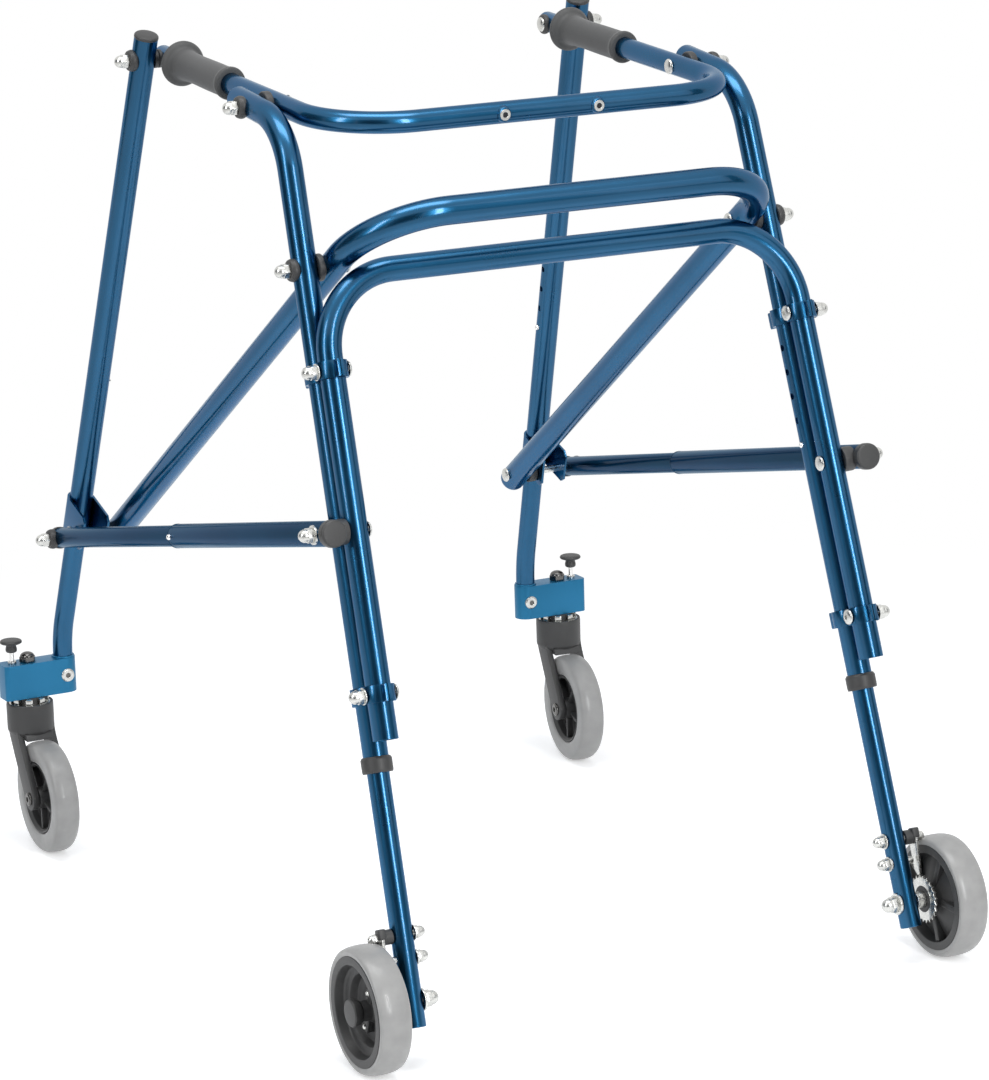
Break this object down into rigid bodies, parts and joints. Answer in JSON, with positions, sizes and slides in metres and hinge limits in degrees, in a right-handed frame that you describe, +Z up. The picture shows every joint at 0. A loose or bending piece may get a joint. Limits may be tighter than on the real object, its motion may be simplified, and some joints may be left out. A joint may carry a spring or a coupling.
{
  "type": "rollator",
  "caption": "Folding four-wheeled walker of bent blue tube with a loop handlebar, height-adjusting legs, swivelling front casters and one-way rear wheels.",
  "frame": {"origin": "on the floor, under the middle of the walker's bounding box", "axes": "+Z up, +Y the way the user walks, +X to the user's right"},
  "size_m": [0.74, 0.9558, 0.937],
  "materials": {
    "blue_tube": "glossy translucent blue over aluminium",
    "dark_tube": "glossy dark blue",
    "blue_casting": "satin blue",
    "zinc": "bright zinc plate",
    "chrome": "bright plated",
    "black_plastic": "moulded, satin",
    "black_rubber": "matte",
    "grey_tyre": "matte light grey"
  },
  "bodies": {
    "frame": {"rear_hoop": "blue_tube", "upright_right": "blue_tube", "upper_clamp_right": "dark_tube", "lower_clamp_right": "dark_tube", "upper_clamp_bolt_right": "zinc", "lower_clamp_bolt_right": "zinc", "arm_pivot_bolt_right": "zinc", "handlebar_pivot_bolt_right": "zinc", "brace_pivot_bolt_right": "zinc", "upright_left": "blue_tube", "upper_clamp_left": "dark_tube", "lower_clamp_left": "dark_tube", "upper_clamp_bolt_left": "zinc", "lower_clamp_bolt_left": "zinc", "arm_pivot_bolt_left": "zinc", "handlebar_pivot_bolt_left": "zinc", "brace_pivot_bolt_left": "zinc"},
    "middle_hoop": {"middle_hoop": "blue_tube"},
    "handlebar": {"handlebar": "blue_tube", "grip_right": "black_rubber", "grip_left": "black_rubber"},
    "front_leg_right": {"front_leg_upper_right": "blue_tube", "front_bracket_right": "dark_tube", "lower_pivot_bolt_right": "zinc"},
    "front_foot_right": {"front_leg_lower_right": "blue_tube", "caster_block_right": "blue_casting"},
    "caster_fork_right": {"caster_fork_right": "black_plastic"},
    "caster_wheel_right": {"caster_hub_right": "black_plastic", "caster_tyre_right": "grey_tyre"},
    "lock_plunger_right": {"lock_plunger_right": "black_plastic"},
    "brace_outer_right": {"brace_outer_right": "dark_tube"},
    "brace_inner_right": {"brace_inner_right": "dark_tube"},
    "brace_button_right": {"brace_button_right": "chrome"},
    "rear_leg_right": {"rear_leg_right": "blue_tube", "rear_axle_right": "zinc"},
    "rear_wheel_right": {"rear_hub_right": "black_plastic", "rear_tyre_right": "grey_tyre"},
    "pawl_right": {"pawl_right": "zinc"},
    "rear_leg_button_right": {"rear_leg_button_right": "chrome"},
    "front_leg_button_right": {"front_leg_button_right": "chrome"},
    "front_leg_left": {"front_leg_upper_left": "blue_tube", "front_bracket_left": "dark_tube", "lower_pivot_bolt_left": "zinc"},
    "front_foot_left": {"front_leg_lower_left": "blue_tube", "caster_block_left": "blue_casting"},
    "caster_fork_left": {"caster_fork_left": "black_plastic"},
    "caster_wheel_left": {"caster_hub_left": "black_plastic", "caster_tyre_left": "grey_tyre"},
    "lock_plunger_left": {"lock_plunger_left": "black_plastic"},
    "brace_outer_left": {"brace_outer_left": "dark_tube"},
    "brace_inner_left": {"brace_inner_left": "dark_tube"},
    "brace_button_left": {"brace_button_left": "chrome"},
    "rear_leg_left": {"rear_leg_left": "blue_tube", "rear_axle_left": "zinc"},
    "rear_wheel_left": {"rear_hub_left": "black_plastic", "rear_tyre_left": "grey_tyre"},
    "pawl_left": {"pawl_left": "zinc"},
    "rear_leg_button_left": {"rear_leg_button_left": "chrome"},
    "front_leg_button_left": {"front_leg_button_left": "chrome"}
  },
  "joints": [
    {"name": "fold", "type": "hinge", "parent": "frame", "child": "middle_hoop", "pos_m": [0, -0.18532, 0.7452], "axis": [-1, 0, 0], "range_deg": [0, 50]},
    {"name": "handlebar_fold", "type": "hinge", "parent": "frame", "child": "handlebar", "pos_m": [0, -0.06434, 0.8915], "axis": [-1, 0, 0], "range_deg": [0, 76]},
    {"name": "front_leg_fold_right", "type": "hinge", "parent": "middle_hoop", "child": "front_leg_right", "pos_m": [0.25, 0.37526, 0.3685], "axis": [-1, 0, 0], "range_deg": [-19, 0]},
    {"name": "brace_swing_right", "type": "hinge", "parent": "frame", "child": "brace_outer_right", "pos_m": [0.301, -0.29735, 0.50707], "axis": [-0.9992, 0.0178, -0.0362], "range_deg": [0, 54]},
    {"name": "brace_slide_right", "type": "slide", "parent": "brace_outer_right", "child": "brace_inner_right", "axis": [-0.0247, -0.9791, 0.2017], "range_m": [0, 0.2205]},
    {"name": "brace_button_press_right", "type": "slide", "parent": "brace_outer_right", "child": "brace_button_right", "axis": [-0.9992, 0.0179, -0.0362], "range_m": [0, 0.001], "stiffness_N_per_m": 2000},
    {"name": "rear_leg_height_right", "type": "slide", "parent": "frame", "child": "rear_leg_right", "axis": [-0.0286, 0.3185, 0.9475], "range_m": [0, 0.1016]},
    {"name": "rear_leg_button_press_right", "type": "slide", "parent": "frame", "child": "rear_leg_button_right", "axis": [1, 0, 0], "range_m": [0, 0.001], "stiffness_N_per_m": 2000},
    {"name": "front_leg_height_right", "type": "slide", "parent": "front_leg_right", "child": "front_foot_right", "axis": [-0.0531, -0.328, 0.9432], "range_m": [0, 0.1016]},
    {"name": "front_leg_button_press_right", "type": "slide", "parent": "front_leg_right", "child": "front_leg_button_right", "axis": [1, 0, 0], "range_m": [0, 0.001], "stiffness_N_per_m": 2000},
    {"name": "rear_wheel_roll_right", "type": "hinge", "parent": "rear_leg_right", "child": "rear_wheel_right", "pos_m": [0.326, -0.41444, 0.0635], "axis": [1, 0, 0], "continuous": true},
    {"name": "pawl_lift_right", "type": "hinge", "parent": "rear_leg_right", "child": "pawl_right", "pos_m": [0.27994, -0.39374, 0.1251], "axis": [1, 0, 0], "range_deg": [0, 25], "stiffness_Nm_per_rad": 0.05, "springref_deg": -17.19},
    {"name": "caster_swivel_right", "type": "hinge", "parent": "front_foot_right", "child": "caster_fork_right", "pos_m": [0.3385, 0.45144, 0.16], "axis": [0, 0, 1], "continuous": true},
    {"name": "caster_roll_right", "type": "hinge", "parent": "caster_fork_right", "child": "caster_wheel_right", "pos_m": [0.33503, 0.41009, 0.0635], "axis": [0.9965, -0.0837, 0], "continuous": true},
    {"name": "swivel_lock_right", "type": "slide", "parent": "front_foot_right", "child": "lock_plunger_right", "axis": [0, 0, -1], "range_m": [0, 0.0085]},
    {"name": "front_leg_fold_left", "type": "hinge", "parent": "middle_hoop", "child": "front_leg_left", "pos_m": [-0.25, 0.37526, 0.3685], "axis": [-1, 0, 0], "range_deg": [-19, 0]},
    {"name": "brace_swing_left", "type": "hinge", "parent": "frame", "child": "brace_outer_left", "pos_m": [-0.301, -0.29735, 0.50707], "axis": [-0.9992, -0.0178, 0.0362], "range_deg": [0, 54]},
    {"name": "brace_slide_left", "type": "slide", "parent": "brace_outer_left", "child": "brace_inner_left", "axis": [0.0247, -0.9791, 0.2017], "range_m": [0, 0.2205]},
    {"name": "brace_button_press_left", "type": "slide", "parent": "brace_outer_left", "child": "brace_button_left", "axis": [0.9992, 0.0179, -0.0362], "range_m": [0, 0.001], "stiffness_N_per_m": 2000},
    {"name": "rear_leg_height_left", "type": "slide", "parent": "frame", "child": "rear_leg_left", "axis": [0.0286, 0.3185, 0.9475], "range_m": [0, 0.1016]},
    {"name": "rear_leg_button_press_left", "type": "slide", "parent": "frame", "child": "rear_leg_button_left", "axis": [-1, 0, 0], "range_m": [0, 0.001], "stiffness_N_per_m": 2000},
    {"name": "front_leg_height_left", "type": "slide", "parent": "front_leg_left", "child": "front_foot_left", "axis": [0.0531, -0.328, 0.9432], "range_m": [0, 0.1016]},
    {"name": "front_leg_button_press_left", "type": "slide", "parent": "front_leg_left", "child": "front_leg_button_left", "axis": [-1, 0, 0], "range_m": [0, 0.001], "stiffness_N_per_m": 2000},
    {"name": "rear_wheel_roll_left", "type": "hinge", "parent": "rear_leg_left", "child": "rear_wheel_left", "pos_m": [-0.326, -0.41444, 0.0635], "axis": [1, 0, 0], "continuous": true},
    {"name": "pawl_lift_left", "type": "hinge", "parent": "rear_leg_left", "child": "pawl_left", "pos_m": [-0.27994, -0.39374, 0.1251], "axis": [1, 0, 0], "range_deg": [0, 25], "stiffness_Nm_per_rad": 0.05, "springref_deg": -17.19},
    {"name": "caster_swivel_left", "type": "hinge", "parent": "front_foot_left", "child": "caster_fork_left", "pos_m": [-0.3385, 0.45144, 0.16], "axis": [0, 0, 1], "continuous": true},
    {"name": "caster_roll_left", "type": "hinge", "parent": "caster_fork_left", "child": "caster_wheel_left", "pos_m": [-0.33785, 0.40995, 0.0635], "axis": [0.9999, 0.0157, 0], "continuous": true},
    {"name": "swivel_lock_left", "type": "slide", "parent": "front_foot_left", "child": "lock_plunger_left", "axis": [0, 0, -1], "range_m": [0, 0.0085]}
  ],
  "couplings": [
    {"joint": "handlebar_fold", "follows": "fold", "ratio": 1.51},
    {"joint": "front_leg_fold_right", "follows": "fold", "ratio": -0.37},
    {"joint": "brace_swing_right", "follows": "fold", "ratio": 1.064},
    {"joint": "brace_slide_right", "follows": "fold", "m_per_rad": 0.252},
    {"joint": "front_leg_fold_left", "follows": "fold", "ratio": -0.37},
    {"joint": "brace_swing_left", "follows": "fold", "ratio": 1.064},
    {"joint": "brace_slide_left", "follows": "fold", "m_per_rad": 0.252}
  ]
}
